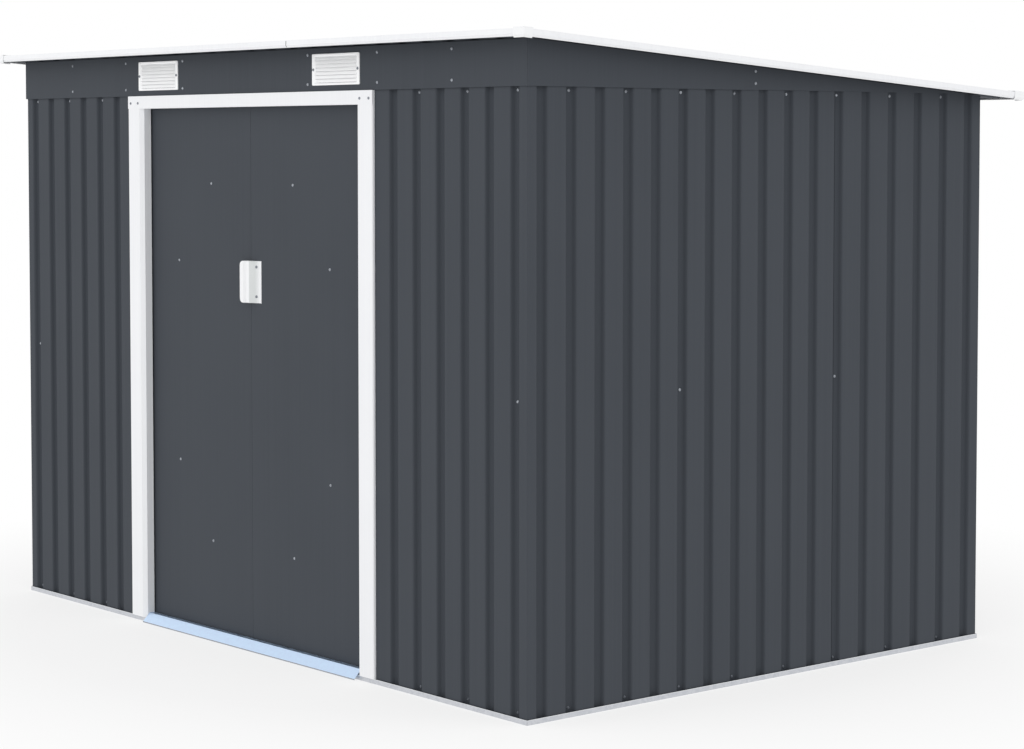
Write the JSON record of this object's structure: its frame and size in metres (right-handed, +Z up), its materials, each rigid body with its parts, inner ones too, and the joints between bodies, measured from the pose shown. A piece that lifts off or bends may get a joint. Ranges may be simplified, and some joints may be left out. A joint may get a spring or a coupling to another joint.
{
  "type": "metal storage shed",
  "caption": "Lean-to garden shed of ribbed grey steel sheet with white trim, a sloping roof, louvred vents and a pair of sliding doors over a low ramp.",
  "frame": {"origin": "on the ground under the middle of the roof's plan", "axes": "+X to the right along the front, +Y from the front to the back, +Z up"},
  "size_m": [2.7806, 2.0331, 1.8432],
  "materials": {
    "grey_paint": "satin anthracite coating on galvanised sheet",
    "white_trim": "satin white coating on galvanised sheet",
    "white_plastic": "moulded white plastic",
    "galvanised": "hot-dip galvanised sheet",
    "black_plastic": "moulded black plastic"
  },
  "bodies": {
    "shed": {"base_rail_front": "galvanised", "base_rail_back": "galvanised", "base_rail_left": "galvanised", "base_rail_right": "galvanised", "front_panel_left": "grey_paint", "front_panel_right": "grey_paint", "front_corner_panel_left": "grey_paint", "front_corner_panel_right": "grey_paint", "side_panel_left": "grey_paint", "side_panel_right": "grey_paint", "rear_corner_panel_left": "grey_paint", "rear_corner_panel_right": "grey_paint", "back_panel_left": "grey_paint", "back_panel_middle": "grey_paint", "back_panel_right": "grey_paint", "top_rails": "galvanised", "middle_rails": "galvanised", "front_fascia": "grey_paint", "fascia_rail": "galvanised", "gable_left": "grey_paint", "gable_right": "grey_paint", "vent_left": "white_plastic", "vent_right": "white_plastic", "door_jamb_left": "white_trim", "door_jamb_right": "white_trim", "door_header": "white_trim", "door_sill": "galvanised", "door_track": "galvanised", "roof_purlins": "galvanised", "roof_sheet_1": "grey_paint", "roof_sheet_2": "grey_paint", "roof_sheet_3": "grey_paint", "roof_sheet_4": "grey_paint", "roof_sheet_5": "grey_paint", "roof_trim_front": "white_trim", "roof_trim_back": "white_trim", "roof_trim_left": "white_trim", "roof_trim_right": "white_trim", "roof_corner_caps": "white_plastic"},
    "left_door": {"left_door_panel": "grey_paint", "left_door_stiffeners": "galvanised", "left_door_hangers": "black_plastic"},
    "right_door": {"right_door_panel": "grey_paint", "right_door_stiffeners": "galvanised", "right_door_hangers": "black_plastic", "door_handle": "white_plastic"}
  },
  "joints": [
    {"name": "left_door_slide", "type": "slide", "parent": "shed", "child": "left_door", "axis": [-1, 0, 0], "range_m": [0, 0.56]},
    {"name": "right_door_slide", "type": "slide", "parent": "shed", "child": "right_door", "axis": [1, 0, 0], "range_m": [0, 0.52]}
  ]
}
